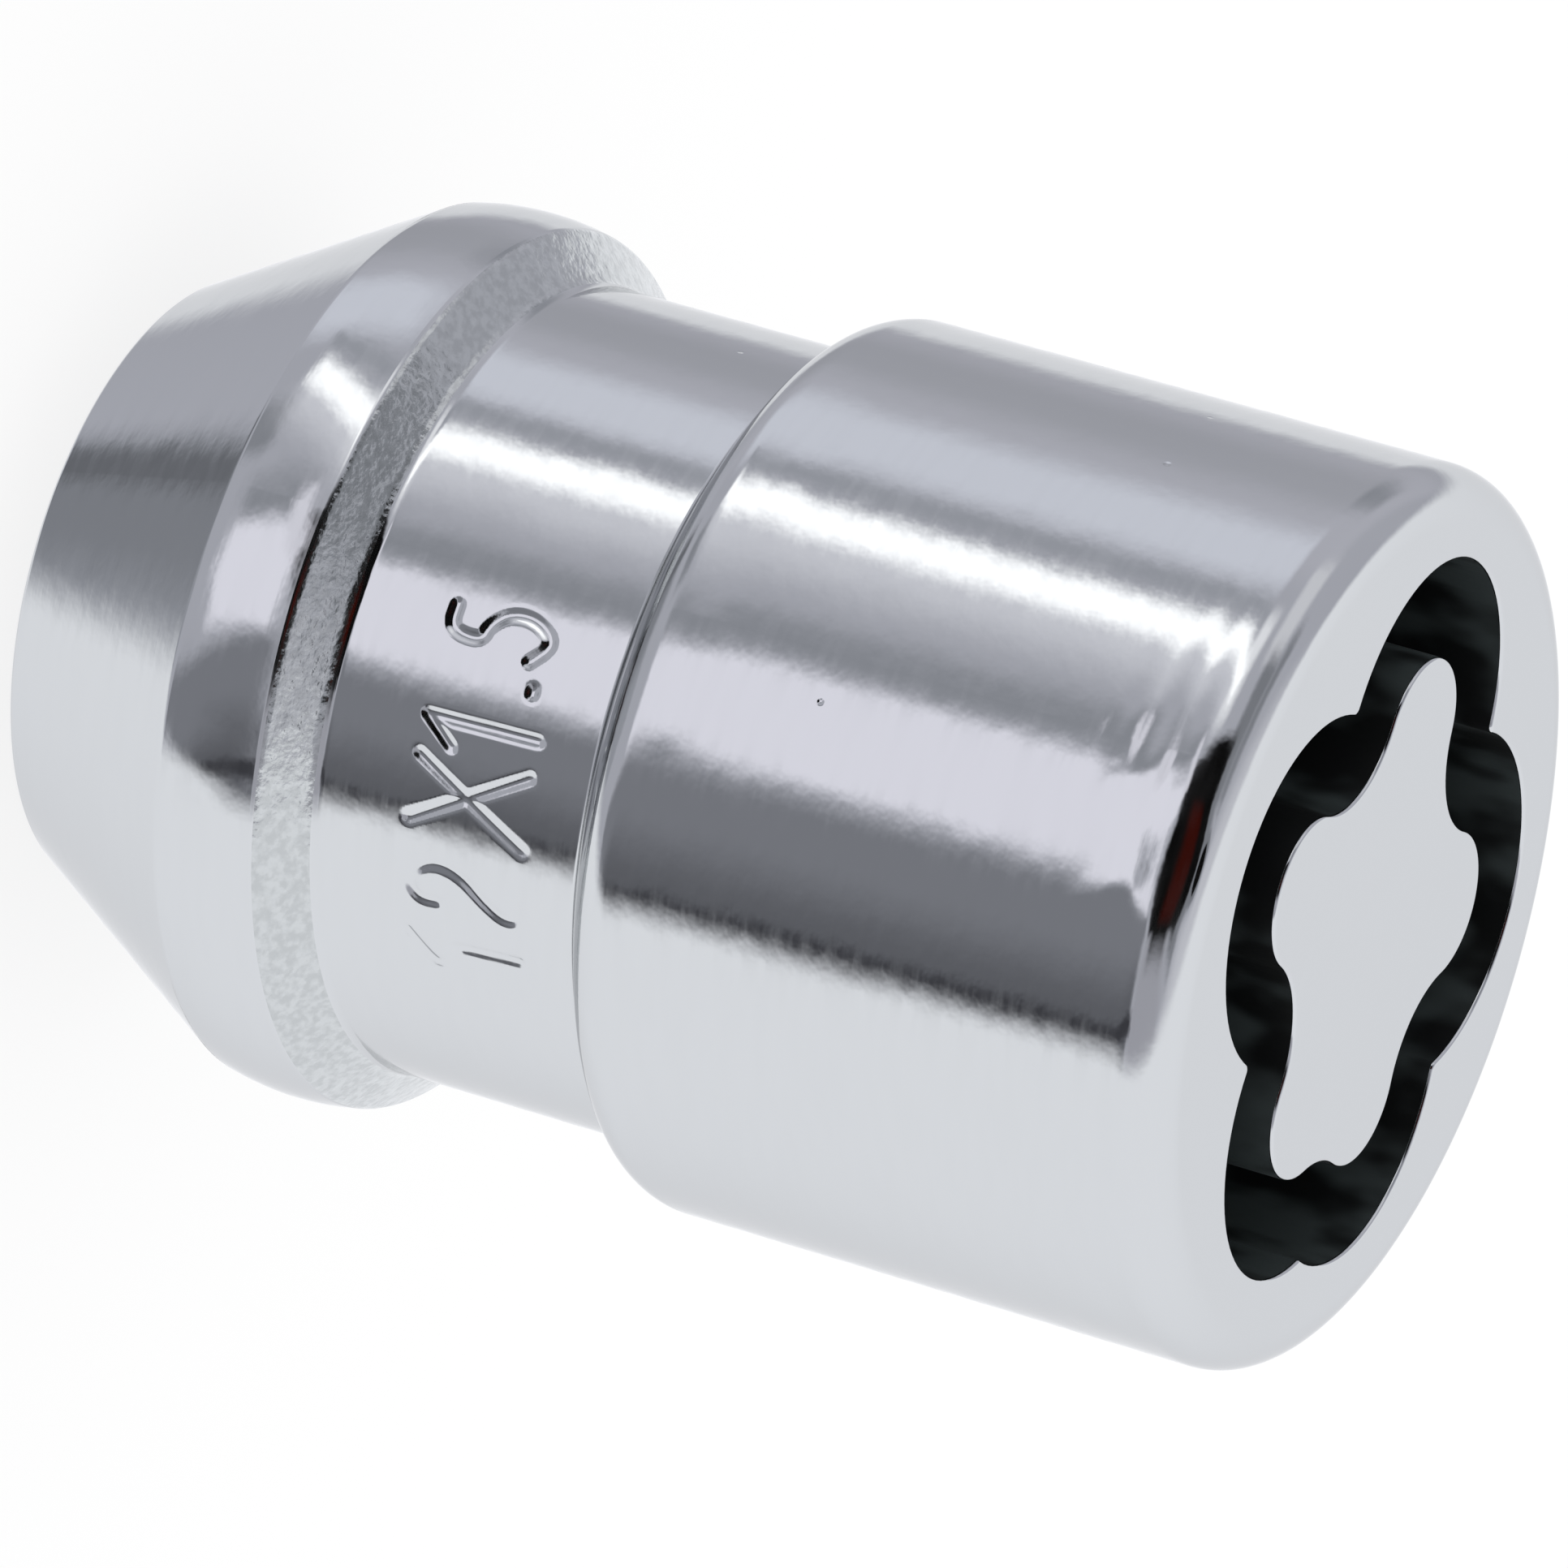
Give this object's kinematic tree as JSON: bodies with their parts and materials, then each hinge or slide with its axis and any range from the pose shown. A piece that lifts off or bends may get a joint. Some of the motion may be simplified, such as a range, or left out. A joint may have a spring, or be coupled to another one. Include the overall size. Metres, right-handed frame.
{
  "type": "locking wheel nut",
  "caption": "Closed-end conical-seat locking wheel nut with a crowned flange, a waisted neck and a lobed key groove sunk round a flush island in its end face.",
  "frame": {"origin": "centre of the seat end, on the nut's axis", "axes": "+Z along the nut's axis from the seat end to the key face; -Y is the side with the thread size stamped on the neck"},
  "size_m": [0.022, 0.022, 0.0325],
  "materials": {
    "chrome_plate": "bright chrome plate over turned and forged steel; dark unpolished steel in the key groove"
  },
  "bodies": {
    "root": {"nut_body": "chrome_plate"}
  },
  "joints": []
}
